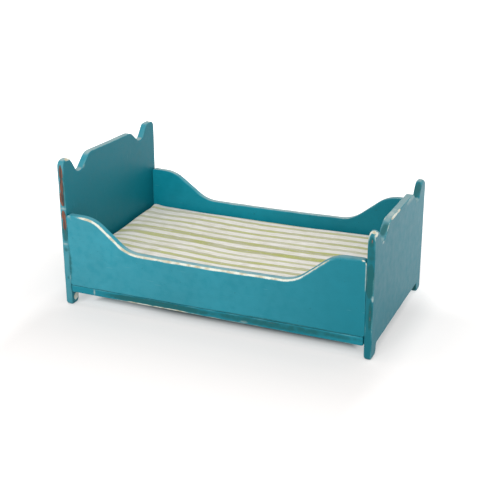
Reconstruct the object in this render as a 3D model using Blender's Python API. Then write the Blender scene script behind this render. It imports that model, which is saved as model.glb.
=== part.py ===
"""Doll's house bed in painted plywood, with a striped cotton mattress that lifts out.

The headboard and the footboard share one scrolled outline. Two side rails with a long
dip stand on a base board, and steel panel pins hold the boards together.
Metres, +Z up, +X from the head to the foot, origin on the floor under the middle.
"""
import math

import bmesh
import bpy
from mathutils import Matrix, Vector

# Overall sizes
LENGTH = 0.180  # over the outer faces of the headboard and the footboard
WIDTH = 0.1025  # over the outer faces of the side rails
PLY = 0.0040  # thickness of every board
GAP = 0.0003  # clearance kept where two pieces meet
ARRIS = 0.0006  # sanded edge of every board
ARC_STEP = math.radians(12)  # turn of one facet along a rounded outline

# End boards: the outline is the same, only the heights of the middle and the horns differ
HEAD_TOP = 0.0840
HEAD_HORN = 0.0855
FOOT_TOP = 0.0669
FOOT_HORN = 0.0692
NOTCH_DEPTH = 0.0077  # the rounded notch beside each horn, below the middle
ARCH_HEIGHT = 0.0062  # underside of the board between its two legs
LEG_WIDTH = 0.0082  # at the arch
LEG_TAPER = 0.0008  # each leg is this much narrower at the floor

# Base board and side rails
BASE_BOTTOM = 0.0085
BASE_TOP = BASE_BOTTOM + PLY
RAIL_BOTTOM = BASE_TOP + GAP
RAIL_LOW = 0.0376  # top edge along the dip
RAIL_HIGH = 0.0548  # top edge at both ends
DIP_CENTRE = -0.0010  # the dip sits a little nearer the head
DIP_HOLLOW = 0.0006  # the long edge of the dip bows down by this in its middle
HOLLOW_RADIUS = 1.5
DIP_HALF = 0.0488  # from its centre to where the slope meets the low edge
SHOULDER_HALF = 0.0700  # from its centre to where the slope meets the high edge

# Mattress
COVER_WALL = 0.0005  # cotton cover
COVER_EASE = 0.0010  # slack between the cover and the boards around it
MATTRESS_TOP = 0.0312
COVER_EDGE = 0.0030  # rounding of the mattress edges
SLIT_LENGTH = 0.0600  # closing slit in the foot end of the cover
SLIT_HEIGHT = 0.0008

# Panel pins
PIN_LENGTH = 0.0130
PIN_RADIUS = 0.0005
PIN_HEAD_RADIUS = 0.0009
PIN_HEAD_HEIGHT = 0.0005
PIN_POINT = 0.0015
PIN_SINK = 0.0005  # the heads are punched this far below the wood
PIN_SIDES = 12
END_PIN_HEIGHTS = (0.022, 0.046)  # two pins at each corner of the bed
BASE_PIN_STATIONS = (-0.066, -0.022, 0.022, 0.066)  # along each side rail

INNER_HALF = LENGTH / 2 - PLY  # inner faces of the end boards
PIN_LINE = WIDTH / 2 - PLY / 2  # every pin lies in the middle of a side rail


def clear_scene():
    for old in list(bpy.data.objects):
        bpy.data.objects.remove(old, do_unlink=True)


def material(name, colour, roughness, metallic=0.0):
    made = bpy.data.materials.new(name)
    made.use_nodes = True
    shader = made.node_tree.nodes["Principled BSDF"]
    shader.inputs["Base Color"].default_value = (*colour, 1.0)
    shader.inputs["Roughness"].default_value = roughness
    shader.inputs["Metallic"].default_value = metallic
    return made


def teal_paint(name):
    return material(name + "_teal_paint", (0.045, 0.260, 0.320), 0.45)


def striped_cotton(name):
    return material(name + "_striped_cotton", (0.640, 0.650, 0.480), 0.90)


def cotton_wadding(name):
    return material(name + "_cotton_wadding", (0.800, 0.780, 0.720), 0.95)


def bright_steel(name):
    return material(name + "_bright_steel", (0.560, 0.560, 0.550), 0.35, 1.0)


def empty(name, parent=None):
    made = bpy.data.objects.new(name, None)
    bpy.context.scene.collection.objects.link(made)
    made.parent = parent
    return made


def add_object(name, mesh, parent):
    made = bpy.data.objects.new(name, mesh)
    bpy.context.scene.collection.objects.link(made)
    made.parent = parent
    return made


def finish_mesh(bm, name):
    bmesh.ops.recalc_face_normals(bm, faces=bm.faces)
    mesh = bpy.data.meshes.new(name)
    bm.to_mesh(mesh)
    bm.free()
    return mesh


def mirrored(corners):
    """Corners of a shape that is symmetric about u = 0, from its right half."""
    return corners + [(-u, v, radius) for u, v, radius in reversed(corners)]


def rounded_outline(corners):
    """Points of a closed outline whose corners (u, v, radius) are rounded by arcs."""
    points = []
    for index, (u, v, radius) in enumerate(corners):
        corner = Vector((u, v))
        before = Vector(corners[index - 1][:2]) - corner
        after = Vector(corners[(index + 1) % len(corners)][:2]) - corner
        before.normalize()
        after.normalize()
        half = before.angle(after) / 2
        centre = corner + (before + after).normalized() * radius / math.sin(half)
        start = corner + before * radius / math.tan(half) - centre
        turn = start.angle_signed(corner + after * radius / math.tan(half) - centre)
        steps = max(2, math.ceil(abs(turn) / ARC_STEP))
        for step in range(steps + 1):
            arm = start.copy()
            arm.rotate(Matrix.Rotation(-turn * step / steps, 2))
            points.append(centre + arm)
    return points


def plate(name, outline, across, parent):
    """A board cut to an outline. across is its normal, X or Y, and its middle is at 0."""
    bm = bmesh.new()
    if across == "X":
        verts = [bm.verts.new((-PLY / 2, u, v)) for u, v in outline]
        sweep = Vector((PLY, 0, 0))
    else:
        verts = [bm.verts.new((u, -PLY / 2, v)) for u, v in outline]
        sweep = Vector((0, PLY, 0))
    face = bm.faces.new(verts)
    grown = bmesh.ops.extrude_face_region(bm, geom=[face])["geom"]
    moved = [item for item in grown if isinstance(item, bmesh.types.BMVert)]
    bmesh.ops.translate(bm, verts=moved, vec=sweep)
    board = add_object(name, finish_mesh(bm, name), parent)
    add_bevel(board, ARRIS, 2)
    board.data.materials.append(teal_paint(name))
    return board


def add_bevel(target, width, segments):
    bevel = target.modifiers.new("Sanded edges", "BEVEL")
    bevel.width = width
    bevel.segments = segments
    bevel.limit_method = "ANGLE"
    bevel.angle_limit = math.radians(40)


def end_board_outline(top, horn):
    notch = top - NOTCH_DEPTH
    side = WIDTH / 2
    corners = [
        (0.0248, top, 0.0040),
        (0.0323, notch, 0.0045),
        (0.0380, notch, 0.0045),
        (0.0446, horn, 0.0040),
        (side, horn, 0.0034),
        (side, 0.0, 0.0018),
        (side - LEG_WIDTH + LEG_TAPER, 0.0, 0.0020),
        (side - LEG_WIDTH, ARCH_HEIGHT, 0.0012),
    ]
    return rounded_outline(mirrored(corners))


def rail_outline():
    end = INNER_HALF - GAP
    dip = mirrored([(DIP_HALF, RAIL_LOW, 0.0123), (SHOULDER_HALF, RAIL_HIGH, 0.0140)])
    dip = [(x + DIP_CENTRE, z, radius) for x, z, radius in dip]
    ends = mirrored([(end, RAIL_HIGH, 0.0010), (end, RAIL_BOTTOM, 0.0022)])
    hollow = [(DIP_CENTRE, RAIL_LOW - DIP_HOLLOW, HOLLOW_RADIUS)]
    return rounded_outline(dip[:2] + ends + dip[2:] + hollow)


def box_mesh(name, size, edge, segments=3):
    """A box about its own centre, with rounded edges."""
    bm = bmesh.new()
    bmesh.ops.create_cube(bm, size=1.0, matrix=Matrix.Diagonal((*size, 1.0)))
    if edge:
        bmesh.ops.bevel(
            bm, geom=bm.edges[:], offset=edge, segments=segments, profile=0.5,
            affect="EDGES",
        )
    return finish_mesh(bm, name)


def turn_profile(bm, profile, placing):
    """Add a turned solid: profile is (radius, distance along the local Z axis)."""
    verts = [bm.verts.new((radius, 0, along)) for radius, along in profile]
    edges = [bm.edges.new(pair) for pair in zip(verts, verts[1:])]
    bmesh.ops.spin(
        bm, geom=verts + edges, cent=(0, 0, 0), axis=(0, 0, 1),
        angle=math.tau, steps=PIN_SIDES, use_duplicate=False,
    )
    bmesh.ops.remove_doubles(bm, verts=bm.verts[:], dist=1e-7)
    bmesh.ops.transform(bm, matrix=placing, verts=bm.verts[:])


def pin_profile(grow=0.0, lead=0.0):
    """Half section of a pin from its head at 0; grow and lead make its drilled hole."""
    neck = PIN_HEAD_HEIGHT + grow
    shoulder = PIN_LENGTH - PIN_POINT
    return [
        (0.0, -lead),
        (PIN_HEAD_RADIUS + grow, -lead),
        (PIN_HEAD_RADIUS + grow, neck),
        (PIN_RADIUS + grow, neck),
        (PIN_RADIUS + grow, shoulder),
        (0.0, PIN_LENGTH + grow),
    ]


def pin_placings():
    """Name and placing of every pin, with local +Z from the head towards the point."""
    placings = {}
    for board, sign in (("head", -1), ("foot", 1)):
        inward = Matrix.Rotation(-sign * math.pi / 2, 4, "Y")
        for side, y in (("right", -PIN_LINE), ("left", PIN_LINE)):
            for level, z in zip(("lower", "upper"), END_PIN_HEIGHTS):
                head = Vector((sign * (LENGTH / 2 - PIN_SINK), y, z))
                name = f"pin_{board}_{side}_{level}"
                placings[name] = Matrix.Translation(head) @ inward
    for side, y in (("right", -PIN_LINE), ("left", PIN_LINE)):
        for number, x in enumerate(BASE_PIN_STATIONS, start=1):
            head = Vector((x, y, BASE_BOTTOM + PIN_SINK))
            placings[f"pin_base_{side}_{number}"] = Matrix.Translation(head)
    return placings


def make_pin(name, placing, parent):
    bm = bmesh.new()
    turn_profile(bm, pin_profile(), Matrix.Identity(4))
    pin = add_object(name, finish_mesh(bm, name), parent)
    pin.matrix_world = placing
    pin.data.shade_smooth()
    pin.data.set_sharp_from_angle(angle=math.radians(35))
    pin.data.materials.append(bright_steel(name))
    return pin


def cut(target, cutter_mesh, name):
    cutter = bpy.data.objects.new(name, cutter_mesh)
    bpy.context.scene.collection.objects.link(cutter)
    cutter.hide_render = True
    cutter.display_type = "WIRE"
    boolean = target.modifiers.new(name, "BOOLEAN")
    boolean.operation = "DIFFERENCE"
    boolean.solver = "EXACT"
    boolean.object = cutter
    return cutter


def drill(board, placings):
    """Drill a board for the pins that pass through it or end in it."""
    whole = bmesh.new()
    for placing in placings:
        hole = bmesh.new()
        turn_profile(hole, pin_profile(grow=GAP, lead=2 * PIN_SINK), placing)
        bmesh.ops.recalc_face_normals(hole, faces=hole.faces)
        piece = bpy.data.meshes.new("hole")
        hole.to_mesh(piece)
        hole.free()
        whole.from_mesh(piece)
        bpy.data.meshes.remove(piece)
    name = board.name + "_pin_holes"
    cut(board, finish_mesh(whole, name), name)


def make_end_board(name, sign, top, horn, parent):
    board = plate(name, end_board_outline(top, horn), "X", parent)
    board.location.x = sign * (LENGTH / 2 - PLY / 2)
    return board


def make_side_rail(name, sign, parent):
    rail = plate(name, rail_outline(), "Y", parent)
    rail.location.y = sign * (WIDTH / 2 - PLY / 2)
    return rail


def make_base_board(parent):
    size = (2 * (INNER_HALF - GAP), WIDTH, PLY)
    base = add_object("base_board", box_mesh("base_board", size, 0.0), parent)
    base.location.z = BASE_BOTTOM + PLY / 2
    add_bevel(base, ARRIS, 2)
    base.data.materials.append(teal_paint("base_board"))
    return base


def mattress_size():
    length = 2 * (INNER_HALF - COVER_EASE)
    width = WIDTH - 2 * PLY - 2 * COVER_EASE
    height = MATTRESS_TOP - BASE_TOP - GAP
    return Vector((length, width, height))


def make_mattress_cover(parent):
    outer = mattress_size()
    wall = Vector((2 * COVER_WALL,) * 3)
    name = "mattress_cover"
    cover = add_object(name, box_mesh(name, outer, COVER_EDGE), parent)
    cavity = box_mesh("cover_cavity", outer - wall, COVER_EDGE - COVER_WALL)
    slit = box_mesh("closing_slit", (4 * COVER_WALL, SLIT_LENGTH, SLIT_HEIGHT), 0.0)
    slit_x = outer.x / 2 - COVER_WALL
    slit.transform(Matrix.Translation((slit_x, 0, 0)))
    for mesh in (cavity, slit):
        cutter = cut(cover, mesh, mesh.name)
        cutter.parent = parent
    cover.data.shade_smooth()
    cover.data.set_sharp_from_angle(angle=math.radians(35))
    cover.data.materials.append(striped_cotton(name))
    return cover


def make_mattress_filling(parent):
    inset = COVER_WALL + GAP
    size = mattress_size() - Vector((2 * inset,) * 3)
    name = "mattress_filling"
    filling = add_object(name, box_mesh(name, size, COVER_EDGE - inset), parent)
    filling.data.shade_smooth()
    filling.data.set_sharp_from_angle(angle=math.radians(35))
    filling.data.materials.append(cotton_wadding(name))
    return filling


def build():
    clear_scene()
    bed = empty("bed")
    headboard = make_end_board("headboard", -1, HEAD_TOP, HEAD_HORN, bed)
    footboard = make_end_board("footboard", 1, FOOT_TOP, FOOT_HORN, bed)
    right = make_side_rail("side_rail_right", -1, bed)
    left = make_side_rail("side_rail_left", 1, bed)
    base = make_base_board(bed)

    placings = pin_placings()
    for name, placing in placings.items():
        make_pin(name, placing, bed)

    def pins(word):
        return [placing for name, placing in placings.items() if word in name]

    drill(headboard, pins("_head_"))
    drill(footboard, pins("_foot_"))
    drill(right, pins("_right_"))
    drill(left, pins("_left_"))
    drill(base, pins("_base_"))

    mattress = empty("mattress", bed)
    mattress.location.z = (BASE_TOP + GAP + MATTRESS_TOP) / 2
    make_mattress_cover(mattress)
    make_mattress_filling(mattress)
    bpy.context.view_layer.update()


build()
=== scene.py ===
import math

import bmesh
import bpy
import numpy as np
from mathutils import Matrix, Vector, noise
from mathutils.geometry import delaunay_2d_cdt
from mathutils.kdtree import KDTree


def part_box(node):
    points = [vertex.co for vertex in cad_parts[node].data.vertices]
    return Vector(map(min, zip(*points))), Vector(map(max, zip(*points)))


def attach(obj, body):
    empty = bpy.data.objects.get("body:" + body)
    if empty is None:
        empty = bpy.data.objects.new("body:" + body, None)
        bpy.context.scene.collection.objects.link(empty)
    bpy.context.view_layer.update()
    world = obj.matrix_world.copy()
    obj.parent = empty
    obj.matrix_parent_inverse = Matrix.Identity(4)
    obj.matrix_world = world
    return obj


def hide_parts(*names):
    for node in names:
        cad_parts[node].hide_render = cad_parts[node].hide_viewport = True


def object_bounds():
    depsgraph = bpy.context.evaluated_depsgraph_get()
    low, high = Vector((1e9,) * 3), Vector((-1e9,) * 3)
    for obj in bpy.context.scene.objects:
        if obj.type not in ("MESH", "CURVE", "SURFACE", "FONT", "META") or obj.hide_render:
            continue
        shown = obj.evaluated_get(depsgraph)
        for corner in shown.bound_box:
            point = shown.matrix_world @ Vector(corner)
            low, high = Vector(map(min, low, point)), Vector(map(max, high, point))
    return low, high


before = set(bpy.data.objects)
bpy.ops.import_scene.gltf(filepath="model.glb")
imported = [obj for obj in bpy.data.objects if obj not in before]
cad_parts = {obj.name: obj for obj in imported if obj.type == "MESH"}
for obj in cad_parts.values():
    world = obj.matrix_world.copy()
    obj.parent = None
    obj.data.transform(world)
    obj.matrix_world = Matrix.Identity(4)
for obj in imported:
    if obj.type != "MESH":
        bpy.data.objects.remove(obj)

MM = 0.001
CAD_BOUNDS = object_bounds()


def box_mm(node):
    low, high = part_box(node)
    return np.array(low) / MM, np.array(high) / MM


HEAD_LOW, HEAD_HIGH = box_mm("headboard")
FOOT_LOW, FOOT_HIGH = box_mm("footboard")
RIGHT_LOW, RIGHT_HIGH = box_mm("side_rail_right")
LEFT_LOW = box_mm("side_rail_left")[0]
BASE_LOW, BASE_HIGH = box_mm("base_board")
COVER_LOW, COVER_HIGH = box_mm("mattress_cover")
PLY = HEAD_HIGH[0] - HEAD_LOW[0]

# Outline of the end boards: the model's, with the corners worn rounder. Each side has its own
# hand-cut depths and widths, given where the boards are made.
HEAD_RISE = 1.5  # horns above the middle
FOOT_RISE = 2.3
NOTCH_DEPTH = 7.7
PIT_HALF = 2.3
SHOULDER_ROUND = 8.0
PIT_ROUND = 4.2
HORN_ROUND = 3.4
ARCH_HEIGHT = 6.2
ARCH_ROUND = 1.2
LEG_TAPER = 0.8
LEG_OUTER_ROUND = 2.0
LEG_INNER_ROUND = 2.2

# Outline of the side rails, with a shallow dip between two shoulders
DIP_CENTRE = -1.0
DIP_HALF = 48.8
SHOULDER_HALF = 70.0
LOW_EDGE = 37.6
DIP_ROUND = 20.0
CREST_ROUND = 20.0
DIP_HOLLOW = 0.6
HOLLOW_RADIUS = 1500.0
RAIL_END = 85.95
FAR_HEAD_REACH = 85.75  # the headboard stands in a little there
RAIL_FOOT_ROUND = 2.6
RAIL_HEAD_ROUND = 1.5
RAIL_LOW_ROUND = 1.6

# Meshing of the boards
OUTLINE_STEP = 0.45
FACE_STEP = 1.5
ARC_STEP = math.radians(6)
QUARTER = [math.radians(angle) for angle in (0, 22.5, 45, 67.5, 90)]  # rings of an arris
EDGE_STATIONS = (1 / 6, 2 / 6, 3 / 6, 4 / 6, 5 / 6)
RIM_INSETS = (1.0, 0.45)  # extra rings on each face, inside its arris
RIM_WEAR = (0.0, 0.12)
QUARTER_WEAR = (0.4, 0.75, 1.0, 0.8, 0.45)
EDGE_WEAR = 0.25
RADIUS_SHARE = 0.8  # most of a corner's radius that its arris may take
FLATTEST_TURN = 1e-4
TURN_REACH = 4  # outline points on each side that share a corner's radius
GRID_CLEAR = 0.5  # from grid to rim, in face steps
GRID_SHIFT = 0.35  # in face steps
SHIFT_SIZE = 1.1
SHIFT_LAYER = 9


def evenly_spaced(points, spacing):
    """A closed outline walked in equal steps of about spacing."""
    closed = np.vstack([points, points[:1]])
    travel = np.concatenate([[0], np.cumsum(np.linalg.norm(np.diff(closed, axis=0), axis=1))])
    count = int(travel[-1] / spacing)
    stops = np.arange(count) * travel[-1] / count
    return np.stack([np.interp(stops, travel, closed[:, axis]) for axis in (0, 1)], axis=1)


def rounded_outline(corners):
    """Closed outline whose corners (u, v, radius) are rounded by arcs, evenly spaced."""
    points = []
    for index, (u, v, radius) in enumerate(corners):
        corner = Vector((u, v))
        before = Vector(corners[index - 1][:2]) - corner
        after = Vector(corners[(index + 1) % len(corners)][:2]) - corner
        before.normalize()
        after.normalize()
        half = before.angle(after) / 2
        centre = corner + (before + after).normalized() * radius / math.sin(half)
        start = corner + before * radius / math.tan(half) - centre
        turn = start.angle_signed(corner + after * radius / math.tan(half) - centre)
        steps = max(2, math.ceil(abs(turn) / ARC_STEP))
        for step in range(steps + 1):
            arm = start.copy()
            arm.rotate(Matrix.Rotation(-turn * step / steps, 2))
            points.append(centre + arm)
    even = evenly_spaced(np.array(points), OUTLINE_STEP)
    return even if signed_area(even) > 0 else even[::-1].copy()


def signed_area(points):
    after = np.roll(points, -1, axis=0)
    return float(np.sum(points[:, 0] * after[:, 1] - points[:, 1] * after[:, 0])) / 2


def outward_normals(points):
    along = np.roll(points, -1, axis=0) - np.roll(points, 1, axis=0)
    along /= np.linalg.norm(along, axis=1)[:, None]
    return np.stack([along[:, 1], -along[:, 0]], axis=1)


def convex_radius(points):
    """Radius of each convex stretch of the outline, large where it is flat or hollow."""
    before = points - np.roll(points, 1, axis=0)
    after = np.roll(points, -1, axis=0) - points
    cross = before[:, 0] * after[:, 1] - before[:, 1] * after[:, 0]
    turn = np.arctan2(cross, np.sum(before * after, axis=1))
    radius = OUTLINE_STEP / np.maximum(turn, FLATTEST_TURN)
    shifts = range(-TURN_REACH, TURN_REACH + 1)
    return np.min([np.roll(radius, shift) for shift in shifts], axis=0)


def waver(place, size, seed):
    """Smooth noise from -1 to 1 at a place, with features about size across."""
    return noise.noise(Vector((place[0] / size + seed, place[1] / size - seed, place[2] / size)))


def wavers(places, size, seed):
    return np.array([waver(place, size, seed) for place in places])


def inside(points, outline):
    """Which points lie inside a closed outline."""
    result = np.zeros(len(points), dtype=bool)
    previous = outline[-1]
    for current in outline:
        crosses = (current[1] > points[:, 1]) != (previous[1] > points[:, 1])
        rise = previous[1] - current[1]
        slope = (previous[0] - current[0]) / rise if rise else 0.0
        left = points[:, 0] < current[0] + (points[:, 1] - current[1]) * slope
        result ^= crosses & left
        previous = current
    return result


def face_fill(rim, seed):
    """Triangles over one flat face: indices under len(rim) are the rim, the rest are new."""
    low, high = rim.min(axis=0), rim.max(axis=0)
    rows = np.arange(low[1], high[1], FACE_STEP * math.sqrt(3) / 2)
    grid = np.array([
        (u + (row % 2) * FACE_STEP / 2, v)
        for row, v in enumerate(rows)
        for u in np.arange(low[0], high[0], FACE_STEP)
    ])
    shifts = [
        [waver((u, v, level), SHIFT_SIZE, seed) for level in (0, SHIFT_LAYER)]
        for u, v in grid
    ]
    grid = grid + np.array(shifts) * FACE_STEP * GRID_SHIFT
    tree = KDTree(len(rim))
    for index, (u, v) in enumerate(rim):
        tree.insert((u, v, 0), index)
    tree.balance()
    clear = np.array([tree.find((u, v, 0))[2] > FACE_STEP * GRID_CLEAR for u, v in grid])
    grid = grid[inside(grid, rim) & clear]
    points = [Vector(point) for point in np.vstack([rim, grid])]
    count = len(rim)
    loop = [(index, (index + 1) % count) for index in range(count)]
    _, _, faces, origins, _, _ = delaunay_2d_cdt(points, loop, [], 1, 1e-6)
    source = [min(origin) if origin else -1 for origin in origins]
    triangles = [[source[corner] for corner in face] for face in faces]
    return grid, [face for face in triangles if min(face) >= 0]


def board_mesh(name, outline, arris, place, seed):
    """Mesh of a board with soft arrises.

    arris gives four arrays along the outline: how far the low-side arris reaches down the
    face and across the edge, then the same for the high side. place turns (u, v, depth)
    arrays into positions, depth running over the thickness.
    """
    normals = outward_normals(outline)
    room = convex_radius(outline) * RADIUS_SHARE
    low_face, low_edge, high_face, high_edge = arris
    rings, wear = [], []

    def add_ring(inset, depth, amount):
        inset = np.minimum(inset, room)
        ring = outline - normals * inset[:, None]
        rings.append(np.column_stack([ring, depth]))
        wear.append(np.full(len(outline), amount))

    for extra, amount in zip(RIM_INSETS, RIM_WEAR):
        add_ring(low_face + extra, np.zeros(len(outline)), amount)
    for angle, amount in zip(QUARTER, QUARTER_WEAR):
        add_ring(low_face * (1 - math.sin(angle)), low_edge * (1 - math.cos(angle)), amount)
    flat = PLY - low_edge - high_edge
    for station in EDGE_STATIONS:
        add_ring(np.zeros(len(outline)), low_edge + flat * station, EDGE_WEAR)
    for angle, amount in zip(reversed(QUARTER), reversed(QUARTER_WEAR)):
        depth = PLY - high_edge * (1 - math.cos(angle))
        add_ring(high_face * (1 - math.sin(angle)), depth, amount)
    for extra, amount in zip(reversed(RIM_INSETS), reversed(RIM_WEAR)):
        add_ring(high_face + extra, np.full(len(outline), PLY), amount)

    count = len(outline)
    faces = []
    for ring in range(len(rings) - 1):
        for index in range(count):
            after = (index + 1) % count
            first, second = ring * count, (ring + 1) * count
            faces.append((first + index, first + after, second + after, second + index))
    parts = list(rings)
    total = count * len(rings)
    for ring, depth in ((0, 0.0), (len(rings) - 1, PLY)):
        grid, triangles = face_fill(rings[ring][:, :2], seed + ring)
        offset = ring * count
        for triangle in triangles:
            faces.append([
                corner + offset if corner < count else corner - count + total
                for corner in triangle
            ])
        parts.append(np.column_stack([grid, np.full(len(grid), depth)]))
        wear.append(np.zeros(len(grid)))
        total += len(grid)
    flat_places = np.vstack(parts)
    places = np.stack(place(flat_places[:, 0], flat_places[:, 1], flat_places[:, 2]), axis=1)
    mesh = bpy.data.meshes.new(name)
    mesh.from_pydata((places * MM).tolist(), [], faces)
    bm = bmesh.new()
    bm.from_mesh(mesh)
    bmesh.ops.recalc_face_normals(bm, faces=bm.faces)
    bm.to_mesh(mesh)
    bm.free()
    return mesh, places, np.concatenate(wear)


def set_layer(mesh, name, values):
    layer = mesh.attributes.new(name, "FLOAT", "POINT")
    layer.data.foreach_set("value", np.asarray(values, dtype=np.float32))


def vertex_normals(mesh):
    values = np.empty(len(mesh.vertices) * 3, dtype=np.float32)
    mesh.vertices.foreach_get("normal", values)
    return values.reshape(-1, 3).astype(float)


def patch(places, centre, reach):
    """1 in the middle of an ellipsoid, 0 at its surface and beyond."""
    scaled = (places - np.array(centre)) / np.array(reach)
    return np.clip(1 - np.sum(scaled**2, axis=1), 0, 1)


RAGGED = 0.5
RAGGED_SIZE = 2.2


def patches(places, marks, seed):
    """Strongest of several marks (centre, reach, amount) with ragged outlines."""
    result = np.zeros(len(places))
    ragged = 1 + RAGGED * wavers(places, RAGGED_SIZE, seed)
    for centre, reach, amount in marks:
        result = np.maximum(result, np.sqrt(patch(places, centre, reach)) * amount * ragged)
    return result


NEAR_SIDE = -51.2
# Marks on each board: (centre, reach, amount). Worn shows cream undercoat, pale is paint
# rubbed thin, bare shows the brown core of the plywood, grime is dark dirt in the paint and
# painted shade in notches and joints.
MARKS = {
    "headboard": {
        "worn": [
            ((-87.4, -46.0, 85.6), (2.0, 3.0, 1.0), 1.2),
            ((-86.5, -17.0, 84.4), (0.5, 5.0, 0.7), 0.85),
            ((-87.0, 48.0, 85.3), (1.2, 2.0, 1.0), 0.9),
            ((-86.8, -47.0, 4.2), (0.8, 2.8, 2.6), 1.6),
        ],
        "rubbed_and_highlit": [
            ((-88.7, NEAR_SIDE, 58.3), (1.9, 1.2, 0.8), 0.8),
            ((-89.0, NEAR_SIDE, 37.4), (2.2, 1.2, 0.8), 0.8),
            ((-91.1, NEAR_SIDE, 60.0), (0.8, 1.4, 28.0), 0.7),
            ((-86.6, -33.0, 78.0), (0.7, 4.0, 1.6), 0.6),
        ],
        "bare": [
            ((-89.0, NEAR_SIDE, 79.0), (1.2, 1.4, 4.8), 1.4),
            ((-89.0, NEAR_SIDE, 71.5), (1.2, 1.4, 6.2), 1.3),
            ((-89.3, NEAR_SIDE, 64.2), (1.6, 1.4, 4.4), 1.5),
            ((-89.0, NEAR_SIDE, 61.4), (1.3, 1.4, 1.8), 1.4),
            ((-88.9, NEAR_SIDE, 54.2), (1.5, 1.4, 3.5), 1.5),
            ((-88.7, NEAR_SIDE, 49.4), (1.3, 1.4, 4.2), 1.3),
            ((-88.5, NEAR_SIDE, 43.5), (0.8, 1.4, 4.0), 0.7),
        ],
        "grime_and_shade": [
            ((-88.9, NEAR_SIDE, 34.0), (1.6, 1.0, 1.8), 0.7),
            ((-88.6, NEAR_SIDE, 17.0), (0.8, 1.0, 1.2), 0.8),
            ((-88.6, NEAR_SIDE, 46.0), (2.0, 1.3, 8.6), 1.3),
            ((-88.1, NEAR_SIDE, 70.0), (1.4, 1.2, 13.0), 0.9),
            ((-86.0, 32.0, 68.0), (0.8, 5.0, 3.5), 0.35),
            ((-86.4, -38.0, 57.0), (0.8, 4.0, 3.0), 0.35),
        ],
    },
    "footboard": {
        "worn": [
            ((86.3, -49.6, 68.8), (0.9, 2.2, 1.3), 1.3),
            ((90.3, -48.6, 68.4), (1.0, 2.8, 1.7), 1.4),
            ((88.3, -48.6, 69.2), (1.7, 1.7, 1.0), 1.1),
            ((90.0, -7.0, 67.2), (1.0, 3.0, 1.0), 1.0),
            ((90.0, -16.0, 67.4), (0.7, 7.0, 1.3), 1.3),
            ((86.2, -22.0, 67.5), (0.7, 3.0, 1.0), 0.8),
            ((88.0, 48.4, 68.6), (1.7, 2.2, 1.3), 1.0),
            ((90.0, 16.0, 66.6), (0.6, 5.0, 0.6), 0.6),
        ],
        "rubbed_and_highlit": [
            ((88.0, -14.0, 67.4), (2.4, 12.0, 1.6), 0.9),
            ((86.2, -50.6, 67.3), (0.8, 1.5, 2.6), 0.9),
            ((90.2, -36.4, 59.8), (0.8, 1.8, 0.8), 0.9),
            ((88.6, 34.0, 60.0), (2.0, 5.0, 1.2), 0.7),
            ((90.0, NEAR_SIDE, 34.5), (0.8, 1.0, 1.8), 0.9),
            ((90.0, 22.0, 66.0), (1.0, 14.0, 1.4), 0.5),
            ((88.0, 49.6, 67.0), (2.2, 2.6, 2.4), 0.8),
        ],
        "bare": [
            ((88.4, -48.8, 69.2), (1.3, 1.6, 1.0), 0.34),
            ((88.3, NEAR_SIDE, 65.0), (0.7, 1.2, 1.6), 0.68),
            ((89.0, NEAR_SIDE, 26.0), (0.8, 1.2, 6.5), 0.54),
        ],
        "grime_and_shade": [
            ((88.0, NEAR_SIDE, 64.5), (1.7, 1.2, 3.4), 0.9),
            ((88.2, NEAR_SIDE, 44.0), (2.4, 1.2, 10.0), 1.7),
            ((89.0, NEAR_SIDE, 25.0), (1.2, 1.2, 9.0), 1.2),
            ((86.6, 46.0, 63.0), (1.0, 6.0, 4.0), 0.5),
            # painted shade in the two notches, then at the foot of the far leg under the bed
            ((88.2, -28.5, 63.5), (2.3, 5.0, 5.0), 1.0),
            ((88.2, 40.2, 64.0), (2.3, 4.8, 5.4), 1.0),
            ((88.2, 42.6, 3.0), (2.4, 1.6, 4.5), 1.6),
            ((88.2, NEAR_SIDE, 58.0), (2.2, 1.2, 5.0), 0.7),
        ],
    },
    "side_rail_right": {
        "worn": [
            ((84.6, NEAR_SIDE, 54.3), (1.7, 0.5, 0.6), 0.85),
            ((85.8, NEAR_SIDE, 52.9), (0.5, 0.5, 1.2), 0.85),
        ],
        "rubbed_and_highlit": [
            ((-85.6, NEAR_SIDE, 54.2), (1.4, 1.0, 0.9), 0.7),
            ((86.0, NEAR_SIDE, 46.0), (0.5, 0.8, 8.0), 0.9),
        ],
        "bare": [],
        "grime_and_shade": [
            # painted shade along the joints with the headboard and with the base board
            ((-86.5, NEAR_SIDE, 26.0), (0.8, 0.9, 12.0), 0.9),
            ((40.0, NEAR_SIDE, 13.0), (46.0, 0.9, 0.6), 0.8),
        ],
    },
    "side_rail_left": {"worn": [], "rubbed_and_highlit": [], "bare": [], "grime_and_shade": []},
    "base_board": {
        "worn": [
            ((-30.0, NEAR_SIDE, 8.7), (28.0, 0.8, 0.5), 0.9),
        ],
        "rubbed_and_highlit": [
            ((-72.0, NEAR_SIDE, 10.6), (0.6, 1.0, 1.9), 0.7),
            ((20.0, NEAR_SIDE, 9.2), (2.5, 1.0, 0.7), 0.6),
        ],
        "bare": [
            ((-30.0, NEAR_SIDE, 11.6), (24.0, 1.0, 0.4), 0.5),
            ((36.0, NEAR_SIDE, 11.7), (26.0, 1.0, 0.4), 0.6),
        ],
        "grime_and_shade": [
            ((-32.0, NEAR_SIDE, 10.4), (36.0, 1.2, 2.2), 1.4),
            ((40.0, NEAR_SIDE, 10.6), (54.0, 1.2, 2.0), 0.85),
        ],
    },
}


SANDING_VARIES = 0.35
SANDING_SIZE = 9.0
SIDES_APART = 20.0  # in the noise, so that the sides differ


def flat_spots(outline, depth=0.0):
    """Outline points as places for the noise."""
    return np.column_stack([outline, np.full(len(outline), depth)])


def arrises(outline, seed, size):
    """Four arrays for board_mesh: a hand-sanded arris of uneven size on both sides."""
    result = []
    for side in range(2):
        spots = flat_spots(outline, SIDES_APART * side)
        uneven = size * (1 + SANDING_VARIES * wavers(spots, SANDING_SIZE, seed + side))
        result += [uneven, uneven.copy()]
    return result


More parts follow.
